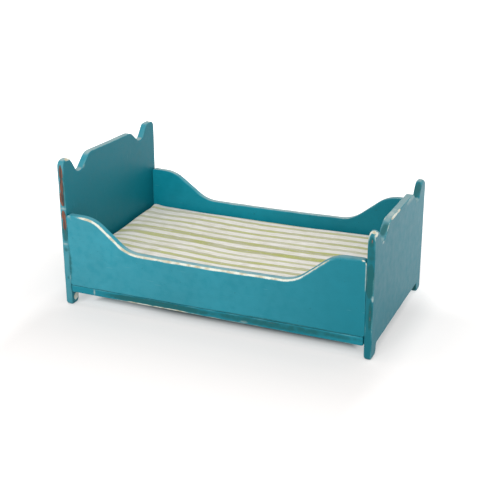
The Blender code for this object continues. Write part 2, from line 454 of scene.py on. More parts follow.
def wandered(outline, spots, reach, size, seed):
    """A sawn outline, wandering off its line by up to reach."""
    return outline + outward_normals(outline) * (reach * wavers(spots, size, seed))[:, None]


# Tones: painted shade and painted highlight at each point of a board, darker where less light
# falls and paler on tops and sides that catch it


def upward(normals, places, above):
    """1 where the surface faces straight up, above a height."""
    return np.clip((normals[:, 2] - 0.76) / 0.18, 0, 1) * (places[:, 2] > above)


def sideward(normals):
    """1 where the surface faces the sleeper's right."""
    return np.clip(-normals[:, 1] * 1.5 - 0.4, 0, 1)


def head_tone(places, normals):
    # Painted shade over the board, more on the inner face and more again low down on it; painted
    # highlight on the top and the near edge.
    side = sideward(normals)
    inner = np.clip(normals[:, 0], 0, 1)
    low = np.clip((60 - places[:, 2]) / 40, 0, 1)
    painted_shade = 0.28 + inner * (0.42 + 0.12 * low)
    return painted_shade, 0.75 * upward(normals, places, 60) + 0.14 * side


def foot_tone(places, normals):
    # Painted shade over the board, more on the outer face towards the near side and most on the
    # near edge; painted highlight on the top and faintly on the far part of the outer face.
    side = sideward(normals)
    far = np.clip(places[:, 1] / 102 + 0.5, 0, 1)
    outer = np.clip(normals[:, 0], 0, 1)
    painted_shade = 0.62 + 0.14 * outer - 0.12 * outer * far + 0.38 * side
    return painted_shade, 0.55 * upward(normals, places, 50) + 0.03 * outer * far


def near_rail_tone(places, normals):
    # Painted shade growing towards the foot, where less light falls; painted highlight on the top
    # and faintly at the head end.
    painted_shade = np.interp(places[:, 0], [-85, -60, -40, 0, 40, 80], [0, 0.05, 0.28, 0.28, 0.5, 0.7])
    top = upward(normals, places, 30)
    rubbed_and_highlit = np.interp(places[:, 0], [-62, -45, 40, 86], [0.1, 0.5, 0.5, 0.25]) * top
    return painted_shade, rubbed_and_highlit + np.interp(places[:, 0], [-85, 0, 40, 80], [0.09, 0.05, 0.03, 0])


def far_rail_tone(places, normals):
    # Painted shade growing towards the foot; the top is paler, partly paint rubbed thin and
    # partly painted highlight, less of it near the foot.
    painted_shade = np.interp(places[:, 0], [-30, 0, 40, 86], [0, 0.26, 0.55, 0.6])
    rubbed_and_highlit_top = np.interp(places[:, 0], [55, 75], [0.8, 0.45])
    return painted_shade, rubbed_and_highlit_top * upward(normals, places, 30)


def base_tone(places, normals):
    # Painted shade over the board, least at the head end.
    painted_shade = np.interp(places[:, 0], [-85, -50, 20, 85], [0.3, 0.7, 0.75, 0.6])
    return painted_shade, np.zeros(len(places))


WEAR_VARIES = 0.42
RIPPLE = (0.06, 13.0)  # height and size of the unevenness of the faces
FINE_RIPPLE = (0.02, 3.0)
CORE_SUNK = 0.22  # worn spots lie below the paint
UNDERCOAT_SUNK = 0.1


def edge_strength(places, level, size, seed):
    """How strongly the edges are worn, varying round a level."""
    return level + WEAR_VARIES * wavers(places, size, seed + 1)


def finish_board(mesh, places, edge, strength, marks, tone, seed):
    """Ripple the surface, sink the bare wood and store the wear layers, with the painted shade
    and painted highlight.
    """
    worn = np.maximum(edge * strength, patches(places, marks["worn"], seed))
    bare = patches(places, marks["bare"], seed + 3)
    grime_and_shade = patches(places, marks["grime_and_shade"], seed + 5)
    normals = vertex_normals(mesh)
    ripple = sum(height * wavers(places, size, seed) for height, size in (RIPPLE, FINE_RIPPLE))
    sunk = CORE_SUNK * np.clip(bare * 2 - 0.6, 0, 1)
    sunk += UNDERCOAT_SUNK * np.clip(worn * 2 - 0.8, 0, 1)
    moved = (places + normals * (ripple - sunk)[:, None]) * MM
    mesh.vertices.foreach_set("co", moved.astype(np.float32).ravel())
    mesh.update()
    # painted shade and painted highlight from the board's tone
    painted_shade, rubbed_and_highlit = tone(places, normals)
    rubbed_and_highlit = np.maximum(rubbed_and_highlit, patches(places, marks["rubbed_and_highlit"], seed + 7))
    layers = {"worn": worn, "bare": bare, "grime_and_shade": grime_and_shade, "painted_shade": painted_shade, "rubbed_and_highlit": rubbed_and_highlit}
    for name, values in layers.items():
        set_layer(mesh, name, values)
    mesh.shade_smooth()


def add_piece(name, mesh, material, body, slot, *nodes):
    mesh.materials.append(material)
    piece = bpy.data.objects.new(name, mesh)
    bpy.context.scene.collection.objects.link(piece)
    if nodes:
        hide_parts(*nodes)
    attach(piece, body)


def end_half(high, middle, rise, leg, shoulder, pit, horn, depth, radius):
    """Right half of an end board outline; leg is its width at the arch."""
    notch = middle - depth
    side = high[1]
    return [
        (shoulder, middle, SHOULDER_ROUND),
        (pit - PIT_HALF, notch, PIT_ROUND),
        (pit + PIT_HALF, notch, PIT_ROUND),
        (horn, middle + rise, HORN_ROUND),
        (side, middle + rise, radius),
        (side, 0.0, LEG_OUTER_ROUND),
        (side - leg + LEG_TAPER, 0.0, LEG_INNER_ROUND),
        (side - leg, ARCH_HEIGHT, ARCH_ROUND),
    ]


END_ARRIS = 0.6
FOOT_ARRIS = 0.6  # added at the ends of the legs, over FOOT_ROUNDED
FOOT_ROUNDED = 2.5
TIP_REACH = 3.5  # the tips of the horns, with tip_wear added
TIP_FROM = 40.0
TIP_BLEND = 3.0
YAW_PIVOT = 0.35  # share of the width


def end_board(node, low, high, near, far, lean, yaw, tip_wear, tone, seed):
    """A head or foot board.

    near and far describe the sleeper's right and left side as (middle, horn rise, leg
    width, shoulder, pit, horn, pit depth, corner radius). lean moves the foot of the board
    along X, yaw turns it about the vertical.
    """
    middle = high[2]
    right_half = end_half(high, *far)
    left_half = end_half(high, *near)
    outline = rounded_outline(right_half + [(-u, v, r) for u, v, r in reversed(left_half)])
    outline = wandered(outline, flat_spots(outline), 0.12, 8.0, seed)
    outline[:, 1] = np.maximum(outline[:, 1], 0.0)
    foot = np.clip(1 - outline[:, 1] / FOOT_ROUNDED, 0, 1)
    tip = np.clip((outline[:, 1] - middle + TIP_REACH) / TIP_BLEND, 0, 1)
    tip *= np.clip((np.abs(outline[:, 0]) - TIP_FROM) / TIP_BLEND, 0, 1)
    added = FOOT_ARRIS * foot + tip_wear * tip
    arris = [reach + added for reach in arrises(outline, seed, END_ARRIS)]

    def place(u, v, depth):
        turned = yaw * (YAW_PIVOT - u / (2 * high[1]))
        return low[0] + depth + lean * (1 - v / middle) - turned, u, v

    mesh, places, edge = board_mesh(node + "_board", outline, arris, place, seed)
    strength = edge_strength(places, 0.34, 7.0, seed)
    strength += 0.12 * (places[:, 2] > middle - NOTCH_DEPTH)
    finish_board(mesh, places, edge, strength, MARKS[node], tone, seed)
    add_piece(node + "_board", mesh, PAINT_UPRIGHT, "frame", "teal_paint", node)


def rail_corners(head_low, foot_low, head_high, foot_high, foot_end, head_end, head_dip):
    """Heights of the dip and of the ends, then how far the ends and the dip reach."""
    return [
        (DIP_CENTRE + DIP_HALF, foot_low, DIP_ROUND),
        (DIP_CENTRE + SHOULDER_HALF, foot_high, CREST_ROUND),
        (RAIL_END, foot_high, RAIL_FOOT_ROUND),
        (foot_end, RAIL_FLOOR, RAIL_LOW_ROUND),
        (-head_end, RAIL_FLOOR, RAIL_LOW_ROUND),
        (-head_end, head_high, RAIL_HEAD_ROUND),
        (DIP_CENTRE - SHOULDER_HALF, head_high, CREST_ROUND),
        (DIP_CENTRE - head_dip, head_low, DIP_ROUND),
        (DIP_CENTRE, (head_low + foot_low) / 2 - DIP_HOLLOW, HOLLOW_RADIUS),
    ]


RAIL_ARRIS = 0.5
BUTT_FROM = 84.0  # the rails meet the end boards beyond this
RUBBED = ((0.85, 1.7), (0.5, 0.9))  # top arris of the near and the far rail: down, across


def rail_board(node, low, corners, far, tone, seed):
    """A side rail; far is 0 on the sleeper's right and 1 on the left."""
    outline = rounded_outline(corners)
    spots = flat_spots(outline)
    outline = wandered(outline, spots, 0.10, 10.0, seed)
    arris = arrises(outline, seed, RAIL_ARRIS)
    at_end = np.clip((np.abs(outline[:, 0]) - BUTT_FROM) / 1.5, 0, 1)
    arris = [reach * (1 - 0.5 * at_end) for reach in arris]
    on_top = np.clip((outward_normals(outline)[:, 1] - 0.3) / 0.4, 0, 1)
    on_top *= np.clip((BUTT_FROM - np.abs(outline[:, 0])) / 4.0, 0, 1)
    worn_down = 1 + 0.25 * wavers(spots, 14.0, seed + 7)
    for index, reach in enumerate(RUBBED[far], start=2 * far):
        arris[index] = arris[index] + reach * on_top * worn_down

    def place(u, v, depth):
        return u, low[1] + depth, v

    mesh, places, edge = board_mesh(node + "_board", outline, arris, place, seed)
    strength = edge_strength(places, 0.30, 8.0, seed)
    top = places[:, 2] > LOW_EDGE - 4.0
    if far:
        strength += 0.15 * top
    else:
        reach = np.interp(places[:, 0], [-84, -76, 44, 52, 64, 72], [0.1, 1, 1, 0.75, 0.7, 0.25])
        outer = np.clip((low[1] + 1.3 - places[:, 1]) / 0.8, 0, 1)
        line = top * outer * reach * (1.0 + 0.25 * wavers(places, 4.0, seed + 2))
        strength = np.maximum(strength * np.where(top & (outer < 1), 0.8, 1.0), line * 1.15)
    finish_board(mesh, places, edge, strength, MARKS[node], tone, seed)
    add_piece(node + "_board", mesh, PAINT_LEVEL, "frame", "teal_paint", node)


BASE_ARRIS = 0.42
BASE_ROUND = 1.0
BASE_DROOP = 0.8  # the lower face sits lower at the foot end


def base_board(tone, seed):
    node = "base_board"
    wide = BASE_HIGH[1]
    corners = (RAIL_END, wide), (RAIL_END, -wide), (-HEAD_REACH, -wide), (-FAR_HEAD_REACH, wide)
    outline = rounded_outline([(u, v, BASE_ROUND) for u, v in corners])
    outline = wandered(outline, flat_spots(outline), 0.10, 9.0, seed)
    arris = arrises(outline, seed, BASE_ARRIS)

    def place(u, v, depth):
        along = np.clip((u + RAIL_END) / (2 * RAIL_END), 0, 1)
        return u, v, BASE_LOW[2] + depth - BASE_DROOP * along * (1 - depth / PLY)

    mesh, places, edge = board_mesh(node + "_board", outline, arris, place, seed)
    strength = edge_strength(places, 0.30, 7.0, seed)
    below = (places[:, 2] < BASE_LOW[2] + 1.2) & (places[:, 1] < 0)
    strength += 0.45 * below * np.interp(places[:, 0], [-62, -50, 0, 40], [0, 1, 0.9, 0.1])
    finish_board(mesh, places, edge, strength, MARKS[node], tone, seed)
    add_piece(node + "_board", mesh, PAINT_LEVEL, "frame", "teal_paint", node)


# Materials


def new_material(name):
    made = bpy.data.materials.new(name)
    made.use_nodes = True
    shader = made.node_tree.nodes["Principled BSDF"]
    return made, made.node_tree, shader


def feed(tree, socket, value):
    """Connect a socket or set a plain value."""
    if isinstance(value, bpy.types.NodeSocket):
        tree.links.new(value, socket)
    else:
        socket.default_value = value


def object_mm(tree, stretch=(1.0, 1.0, 1.0)):
    """Object coordinates in millimetres, scaled per axis."""
    coordinates = tree.nodes.new("ShaderNodeTexCoord")
    mapping = tree.nodes.new("ShaderNodeMapping")
    mapping.inputs["Scale"].default_value = [factor / MM for factor in stretch]
    tree.links.new(coordinates.outputs["Object"], mapping.inputs["Vector"])
    return mapping.outputs["Vector"]


def speckle(tree, vector, scale, detail=2.0, roughness=0.5):
    texture = tree.nodes.new("ShaderNodeTexNoise")
    tree.links.new(vector, texture.inputs["Vector"])
    texture.inputs["Scale"].default_value = scale
    texture.inputs["Detail"].default_value = detail
    texture.inputs["Roughness"].default_value = roughness
    return texture.outputs["Fac"]


def layer(tree, name):
    node = tree.nodes.new("ShaderNodeAttribute")
    node.attribute_name = name
    return node.outputs["Fac"]


def math_node(tree, operation, first, second=None):
    node = tree.nodes.new("ShaderNodeMath")
    node.operation = operation
    feed(tree, node.inputs[0], first)
    if second is not None:
        feed(tree, node.inputs[1], second)
    return node.outputs[0]


def step(tree, value, low, high, to_low=0.0, to_high=1.0):
    """Smooth step of value from low to high."""
    node = tree.nodes.new("ShaderNodeMapRange")
    node.interpolation_type = "SMOOTHSTEP"
    feed(tree, node.inputs["Value"], value)
    feed(tree, node.inputs["From Min"], low)
    feed(tree, node.inputs["From Max"], high)
    node.inputs["To Min"].default_value = to_low
    node.inputs["To Max"].default_value = to_high
    return node.outputs["Result"]


def blend(tree, factor, first, second):
    """Colour mix; first and second are colours or sockets."""
    node = tree.nodes.new("ShaderNodeMix")
    node.data_type = "RGBA"
    feed(tree, node.inputs[0], factor)
    for socket, value in ((node.inputs[6], first), (node.inputs[7], second)):
        feed(tree, socket, value if isinstance(value, bpy.types.NodeSocket) else (*value, 1.0))
    return node.outputs[2]


def total(tree, *terms):
    """Sum of (socket, weight) terms."""
    result = None
    for socket, weight in terms:
        part = math_node(tree, "MULTIPLY", socket, weight)
        result = part if result is None else math_node(tree, "ADD", result, part)
    return result


def relief(tree, shader, height, strength, distance):
    bump = tree.nodes.new("ShaderNodeBump")
    bump.inputs["Strength"].default_value = strength
    bump.inputs["Distance"].default_value = distance
    tree.links.new(height, bump.inputs["Height"])
    tree.links.new(bump.outputs["Normal"], shader.inputs["Normal"])


# colour of the painted shade
TEAL_PAINTED_SHADE = (0.0008, 0.112, 0.145)
TEAL_DEEP = (0.0015, 0.202, 0.268)
TEAL_LIGHT = (0.004, 0.250, 0.333)
TEAL_THIN = (0.110, 0.310, 0.340)
# paint rubbed thin, and painted highlight on lit tops and edges
TEAL_PALE = (0.310, 0.400, 0.385)
CREAM = (0.600, 0.615, 0.540)
TAN = (0.430, 0.390, 0.270)
CORE_BROWN = (0.205, 0.074, 0.044)
CORE_DARK = (0.048, 0.044, 0.042)
# dark dirt, also used as painted shade
GRIME_AND_SHADE = (0.003, 0.073, 0.074)


def painted_wood(name, grain, gloss):
    """Old teal paint over cream undercoat and plywood, with painted shade and painted highlight
    from the board's layers. grain scales X, Y, Z for brush strokes.
    """
    made, tree, shader = new_material(name)
    even = object_mm(tree)
    brushed = object_mm(tree, grain)
    cloudy = speckle(tree, even, 0.035, 3.0)
    blotchy = speckle(tree, even, 0.22, 3.0)
    strokes = speckle(tree, brushed, 1.0, 3.0, 0.6)
    fine = speckle(tree, even, 2.2, 3.0, 0.6)
    shade = total(tree, (cloudy, 0.50), (blotchy, 0.36), (strokes, 0.14))
    colour = blend(tree, step(tree, shade, 0.27, 0.73), TEAL_DEEP, TEAL_LIGHT)
    # painted shade
    colour = blend(tree, layer(tree, "painted_shade"), colour, TEAL_PAINTED_SHADE)
    # paint rubbed thin, and painted highlight on lit tops
    rubbed_and_highlit_mix = step(tree, blotchy, 0.28, 0.60, 0.60)
    rubbed_and_highlit_mix = math_node(tree, "MULTIPLY", layer(tree, "rubbed_and_highlit"), rubbed_and_highlit_mix)
    colour = blend(tree, rubbed_and_highlit_mix, colour, TEAL_PALE)

    scratch = speckle(tree, object_mm(tree, [factor * 0.8 for factor in grain]), 1.0, 1.0)
    scratched = step(tree, scratch, 0.74, 0.80, 0.0, 0.22)
    colour = blend(tree, scratched, colour, TEAL_THIN)
    specks = step(tree, speckle(tree, even, 0.9, 1.0), 0.74, 0.78, 0.0, 0.5)
    colour = blend(tree, specks, colour, GRIME_AND_SHADE)

    rough_edge = math_node(tree, "SUBTRACT", fine, 0.5)
    worn_raw = total(tree, (layer(tree, "worn"), 1.0), (rough_edge, 0.45))
    bare_raw = total(tree, (layer(tree, "bare"), 1.0), (rough_edge, 0.60))
    grime_and_shade_raw = total(tree, (layer(tree, "grime_and_shade"), 1.0), (rough_edge, 0.70))
    worn = step(tree, worn_raw, 0.48, 0.72)
    bare = step(tree, bare_raw, 0.42, 0.66)
    # dirt, and painted shade in the notches, along the joints and under the bed
    colour = blend(tree, step(tree, grime_and_shade_raw, 0.15, 0.9, 0.0, 0.75), colour, GRIME_AND_SHADE)
    colour = blend(tree, step(tree, worn_raw, 0.14, 0.56, 0.0, 0.42), colour, TEAL_THIN)
    tanned = math_node(tree, "MAXIMUM", step(tree, blotchy, 0.40, 0.66),
                       step(tree, layer(tree, "bare"), 0.12, 0.30))
    undercoat = blend(tree, tanned, CREAM, TAN)
    colour = blend(tree, worn, colour, undercoat)
    core = blend(tree, step(tree, strokes, 0.42, 0.56), CORE_DARK, CORE_BROWN)
    colour = blend(tree, bare, colour, core)
    tree.links.new(colour, shader.inputs["Base Color"])

    scuffed = total(tree, (blotchy, 0.22), (worn, 0.25), (bare, 0.35))
    tree.links.new(math_node(tree, "ADD", scuffed, 0.36), shader.inputs["Roughness"])
    shader.inputs["Specular IOR Level"].default_value = gloss
    height = total(tree, (strokes, 0.35), (fine, 0.25), (worn, -0.35), (bare, -0.6))
    relief(tree, shader, height, 0.26, 0.00010)
    return made


def steel(name):
    made, tree, shader = new_material(name)
    even = object_mm(tree)
    tarnish = speckle(tree, even, 1.4, 4.0, 0.6)
    colour = blend(tree, step(tree, tarnish, 0.42, 0.62), (0.50, 0.50, 0.49), (0.25, 0.22, 0.19))
    tree.links.new(colour, shader.inputs["Base Color"])
    shader.inputs["Metallic"].default_value = 1.0
    tree.links.new(step(tree, tarnish, 0.35, 0.7, 0.28, 0.55), shader.inputs["Roughness"])
    relief(tree, shader, speckle(tree, even, 5.0, 2.0), 0.3, 0.00003)
    return made


PAINT_LEVEL = painted_wood("painted_wood_level", (0.10, 1.3, 1.3), 0.22)
PAINT_UPRIGHT = painted_wood("painted_wood_upright", (1.3, 1.3, 0.10), 0.20)

RAIL_FLOOR = RIGHT_LOW[2] - 0.2
RAIL_TOP = RIGHT_HIGH[2]

HEAD_MIDDLE = HEAD_HIGH[2] - HEAD_RISE
FOOT_MIDDLE = FOOT_HIGH[2] - FOOT_RISE
HEAD_YAW = 1.3
HEAD_REACH = 87.1  # how far the near side reaches to the turned headboard
FOOT_REACH = 86.5
end_board(
    "headboard", HEAD_LOW, HEAD_HIGH,
    (HEAD_MIDDLE + 0.3, HEAD_RISE + 0.3, 7.5, 24.0, 35.3, 44.1, 7.9, 3.6),
    (HEAD_MIDDLE - 0.3, HEAD_RISE, 8.2, 23.4, 33.8, 42.6, 6.9, 3.4),
    0.0, HEAD_YAW, 0.4, head_tone, 11.3,
)
end_board(
    "footboard", FOOT_LOW, FOOT_HIGH,
    (FOOT_MIDDLE + 0.8, FOOT_RISE - 0.6, 9.2, 23.2, 36.2, 44.9, 7.2, 3.6),
    (FOOT_MIDDLE + 0.4, FOOT_RISE - 0.8, 8.4, 23.8, 34.4, 43.4, 7.4, 4.8),
    0.5, 0.0, 1.0, foot_tone, 23.7,
)
near_corners = rail_corners(
    LOW_EDGE, LOW_EDGE, RAIL_TOP, RAIL_TOP, FOOT_REACH, HEAD_REACH, DIP_HALF,
)
rail_board("side_rail_right", RIGHT_LOW, near_corners, 0, near_rail_tone, 37.1)
far_corners = rail_corners(
    LOW_EDGE + 0.4, LOW_EDGE + 0.9, RAIL_TOP - 0.4, RAIL_TOP + 0.6,
    FOOT_REACH, FAR_HEAD_REACH, DIP_HALF - 1.8,
)
rail_board("side_rail_left", LEFT_LOW, far_corners, 1, far_rail_tone, 41.9)
base_board(base_tone, 53.3)

PIN_STEEL = steel("pin_steel")
for pin in [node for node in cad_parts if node.startswith("pin_")]:
    pin_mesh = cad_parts[pin].data
    pin_mesh.materials.clear()
    pin_mesh.materials.append(PIN_STEEL)


# Mattress: a stuffed cotton cushion, inflated at ten times its size so that cloth behaves

SIM_SCALE = 10.0
VOXEL = 1.8
CUSHION_EDGE = 2.8
PRESSURE = 4.0
SIM_FRAMES = 20
PUFF_TOP = 1.0
PUFF_SIDE = 0.5
SEAM_HEIGHT = (COVER_LOW[2] + COVER_HIGH[2]) / 2


def bell(values, centre, reach):
    return np.exp(-(((values - centre) / reach) ** 2))


def sag(x, y):
    """How far the sleeping surface lies below its highest level."""
    head = 2.0 * bell(x, -88, 10) * bell(y, -6, 24) - 1.8 * bell(x, -88, 7)
    hollow = 0.5 * bell(x, 20, 30) * bell(y, -20, 18)
    edge = -(0.45 + 0.6 * bell(x, -80, 20) + 0.8 * bell(x, 75, 28)) * bell(np.abs(y), 47, 5)
    spots = np.stack([x, y, np.zeros_like(x)], axis=1)
    return head + hollow + edge + 0.25 * wavers(spots, 26.0, 5.0)


def mesh_points(mesh):
    values = np.empty(len(mesh.vertices) * 3, dtype=np.float32)
    mesh.vertices.foreach_get("co", values)
    return values.reshape(-1, 3).astype(float)


def put_points(mesh, points):
    mesh.vertices.foreach_set("co", points.astype(np.float32).ravel())
    mesh.update()


def bake_modifiers(piece):
    """Replace the piece's mesh by its evaluated form, without modifiers."""
    graph = bpy.context.evaluated_depsgraph_get()
    mesh = bpy.data.meshes.new_from_object(piece.evaluated_get(graph))
    piece.modifiers.clear()
    old = piece.data
    piece.data = mesh
    bpy.data.meshes.remove(old)


def cushion():
    """The cushion's outside in millimetres after stuffing, as a mesh on a new object."""
    size = (COVER_HIGH - COVER_LOW) * SIM_SCALE * MM
    middle = (COVER_HIGH + COVER_LOW) / 2
    bm = bmesh.new()
    bmesh.ops.create_cube(bm, size=1.0, matrix=Matrix.Diagonal((*size, 1.0)))
    bmesh.ops.bevel(
        bm, geom=bm.edges[:], offset=CUSHION_EDGE * SIM_SCALE * MM, segments=4, profile=0.5,
        affect="EDGES",
    )
    mesh = bpy.data.meshes.new("mattress_cushion")
    bm.to_mesh(mesh)
    bm.free()
    piece = bpy.data.objects.new("mattress_cushion", mesh)
    bpy.context.scene.collection.objects.link(piece)
    remesh = piece.modifiers.new("Even mesh", "REMESH")
    remesh.mode = "VOXEL"
    remesh.voxel_size = VOXEL * SIM_SCALE * MM
    bake_modifiers(piece)

    start = mesh_points(piece.data) / (SIM_SCALE * MM) + middle
    lift = np.clip((start[:, 2] - SEAM_HEIGHT) / (COVER_HIGH[2] - SEAM_HEIGHT), 0, 1)
    start[:, 2] -= lift * sag(start[:, 0], start[:, 1])
    put_points(piece.data, (start - middle) * SIM_SCALE * MM)
    seam = piece.vertex_groups.new(name="seam")
    held = np.flatnonzero(np.abs(start[:, 2] - SEAM_HEIGHT) < VOXEL * 0.6)
    seam.add(held.tolist(), 1.0, "REPLACE")

    cloth = piece.modifiers.new("Cotton", "CLOTH")
    cloth.settings.use_pressure = True
    cloth.settings.uniform_pressure_force = PRESSURE
    cloth.settings.effector_weights.gravity = 0.0
    cloth.settings.vertex_group_mass = "seam"
    cloth.settings.bending_stiffness = 2.0
    cloth.settings.quality = 6
    cloth.point_cache.frame_start = 1
    cloth.point_cache.frame_end = SIM_FRAMES
    scene = bpy.context.scene
    for frame_number in range(1, SIM_FRAMES + 1):
        scene.frame_set(frame_number)
    bake_modifiers(piece)
    scene.frame_set(1)

    puffed = mesh_points(piece.data) / (SIM_SCALE * MM) + middle
    moved = puffed - start
    far = np.linalg.norm(moved, axis=1)
    on_side = np.abs(start[:, 2] - SEAM_HEIGHT) < (COVER_HIGH[2] - SEAM_HEIGHT) - CUSHION_EDGE
    cap = np.where(on_side, PUFF_SIDE, PUFF_TOP)
    limited = cap / (cap + far)
    put_points(piece.data, (start + moved * limited[:, None]) * MM)
    smooth = piece.modifiers.new("Finer", "SUBSURF")
    smooth.levels = 1
    smooth.render_levels = 1
    bake_modifiers(piece)
    return piece


# Woven stripes: centre across the cloth, half width as a share of the pitch, strength
STRIPES = [
    (-63.0, 0.23, 0.70),
    (-54.4, 0.23, 0.75),
    (-46.2, 0.23, 0.70),
    (-38.0, 0.22, 0.72),
    (-30.0, 0.22, 0.80),
    (-22.2, 0.25, 0.80),
    (-15.2, 0.18, 0.62),
    (-7.4, 0.29, 0.88),
    (3.1, 0.27, 0.84),
    (11.0, 0.20, 0.66),
    (18.8, 0.21, 0.76),
    (27.0, 0.21, 0.74),
    (35.9, 0.20, 0.74),
    (44.4, 0.20, 0.68),
    (52.4, 0.22, 0.70),
    (60.6, 0.22, 0.70),
    (68.8, 0.22, 0.70),
]
# The stripes wander across the bed: shift at places along it
DRIFT = ((-90, -75, -60, -30, 0, 40, 60, 90), (3.4, 2.9, 1.9, 0.1, -1.8, 0.3, 1.6, 2.2))
DRIFT_STATIONS = np.linspace(-95, 95, 77)
DRIFT_BLEND = 13  # stations averaged
HEAD_GATHER = 0.045  # the stripes lie closer together at the head end
GATHER_FROM = -50
GATHER_OVER = 20
EDGE_BLEND = 1.6


def cloth_layers(piece):
    """Store where each point lies on the flat cloth, and on which stripe."""
    points = mesh_points(piece.data) / MM
    x, y, z = points.T
    half_long = COVER_HIGH[0] - CUSHION_EDGE * 0.6
    half_wide = COVER_HIGH[1] - CUSHION_EDGE * 0.6
    fall = np.clip(np.minimum(COVER_HIGH[2] - z, z - COVER_LOW[2]), 0, None)
    past_side = np.clip((np.abs(y) - half_wide) / EDGE_BLEND, 0, 1)
    past_end = np.clip((np.abs(x) - half_long) / EDGE_BLEND, 0, 1) * (1 - past_side)
    across = y + np.sign(y) * fall * past_side
    along = x + np.sign(x) * fall * past_end
    kernel = np.hanning(DRIFT_BLEND)
    padded = np.pad(np.interp(DRIFT_STATIONS, *DRIFT), DRIFT_BLEND // 2, mode="edge")
    drift = np.convolve(padded, kernel / kernel.sum(), mode="valid")
    across = across - np.interp(x, DRIFT_STATIONS, drift) + 0.35 * wavers(points, 30.0, 8.0)
    across *= 1 + HEAD_GATHER * np.clip((GATHER_FROM - x) / GATHER_OVER, 0, 1)
    centres = [centre for centre, _, _ in STRIPES]
    set_layer(piece.data, "across", across)
    set_layer(piece.data, "along", along)
    set_layer(piece.data, "stripe", np.interp(across, centres, np.arange(len(centres))))


def stepped_ramp(tree, value, levels):
    """Constant steps over 0 to 1, one for each level."""
    node = tree.nodes.new("ShaderNodeValToRGB")
    ramp = node.color_ramp
    ramp.interpolation = "CONSTANT"
    ramp.elements[0].color = (levels[0],) * 3 + (1.0,)
    ramp.elements.remove(ramp.elements[1])
    for index, level in enumerate(levels[1:], start=1):
        ramp.elements.new(index / len(levels)).color = (level,) * 3 + (1.0,)
    tree.links.new(value, node.inputs["Fac"])
    return node.outputs["Color"]


COTTON_LIGHT = (0.740, 0.715, 0.690)
COTTON_SHADE = (0.600, 0.575, 0.500)
STRIPE_OLIVE = (0.262, 0.268, 0.068)
STRIPE_LIME = (0.335, 0.360, 0.058)
STRIPE_SAND = (0.520, 0.500, 0.330)
THREAD_PITCH = 0.55


def sheet_vector(tree, along_scale, across_scale):
    combine = tree.nodes.new("ShaderNodeCombineXYZ")
    tree.links.new(math_node(tree, "MULTIPLY", layer(tree, "along"), along_scale),
                   combine.inputs["X"])
    tree.links.new(math_node(tree, "MULTIPLY", layer(tree, "across"), across_scale),
                   combine.inputs["Y"])
    return combine.outputs["Vector"]


def thread_wave(tree, name, wobble):
    turned = math_node(tree, "MULTIPLY", layer(tree, name), math.tau / THREAD_PITCH)
    return math_node(tree, "SINE", math_node(tree, "ADD", turned, wobble))


def striped_cotton():
    made, tree, shader = new_material("striped_cotton_weave")
    even = object_mm(tree)
    slub = speckle(tree, sheet_vector(tree, 0.16, 2.4), 1.0, 2.0)
    warp_slub = speckle(tree, sheet_vector(tree, 2.4, 0.22), 1.0, 2.0)
    faded = speckle(tree, sheet_vector(tree, 0.045, 0.35), 1.0, 3.0)
    cloudy = speckle(tree, even, 0.06, 2.0)

    stripe = layer(tree, "stripe")
    number = math_node(tree, "ROUND", stripe)
    offset = math_node(tree, "ABSOLUTE", math_node(tree, "SUBTRACT", stripe, number))
    share = math_node(tree, "DIVIDE", math_node(tree, "ADD", number, 0.5), float(len(STRIPES)))
    half = stepped_ramp(tree, share, [width for _, width, _ in STRIPES])
    strength = stepped_ramp(tree, share, [amount for _, _, amount in STRIPES])
    ragged = math_node(tree, "MULTIPLY", math_node(tree, "SUBTRACT", slub, 0.5), 0.16)
    offset = math_node(tree, "ADD", offset, ragged)
    inner = math_node(tree, "SUBTRACT", half, 0.055)
    outer = math_node(tree, "ADD", half, 0.055)
    dyed = math_node(tree, "SUBTRACT", 1.0, step(tree, offset, inner, outer))
    dyed = math_node(tree, "MULTIPLY", dyed, strength)
    dyed = math_node(tree, "MULTIPLY", dyed, step(tree, faded, 0.30, 0.62, 0.62, 1.0))
    dyed = math_node(tree, "MULTIPLY", dyed, step(tree, layer(tree, "along"), -80, -15, 0.8, 1.0))
    thin = math_node(tree, "MULTIPLY", step(tree, offset, 0.40, 0.47, 0.0, 0.35),
                     step(tree, faded, 0.48, 0.60))

    ground = blend(tree, step(tree, slub, 0.42, 0.62), COTTON_SHADE, COTTON_LIGHT)
    ground = blend(tree, step(tree, cloudy, 0.35, 0.7, 0.0, 0.5), ground, COTTON_LIGHT)
    green = blend(tree, step(tree, faded, 0.42, 0.62), STRIPE_OLIVE, STRIPE_LIME)
    colour = blend(tree, thin, ground, STRIPE_SAND)
    colour = blend(tree, dyed, colour, green)
    flecks = step(tree, warp_slub, 0.58, 0.72, 0.0, 0.28)
    colour = blend(tree, flecks, colour, COTTON_LIGHT)
    tree.links.new(colour, shader.inputs["Base Color"])
    shader.inputs["Specular IOR Level"].default_value = 0.2
    tree.links.new(step(tree, slub, 0.3, 0.7, 0.98, 0.86), shader.inputs["Roughness"])
    wobble = math_node(tree, "MULTIPLY", speckle(tree, even, 0.8, 1.0), 3.0)
    weave = math_node(tree, "MULTIPLY", thread_wave(tree, "across", wobble),
                      thread_wave(tree, "along", wobble))
    height = total(tree, (weave, 0.35), (slub, 0.8), (warp_slub, 0.5))
    relief(tree, shader, height, 0.55, 0.00018)
    return made


def cotton_thread():
    made, tree, shader = new_material("cotton_thread")
    twist = speckle(tree, object_mm(tree), 3.0, 2.0)
    colour = blend(tree, step(tree, twist, 0.4, 0.65), COTTON_SHADE, COTTON_LIGHT)
    tree.links.new(colour, shader.inputs["Base Color"])
    tree.links.new(step(tree, twist, 0.3, 0.7, 0.95, 0.8), shader.inputs["Roughness"])
    relief(tree, shader, twist, 0.4, 0.0001)
    return made


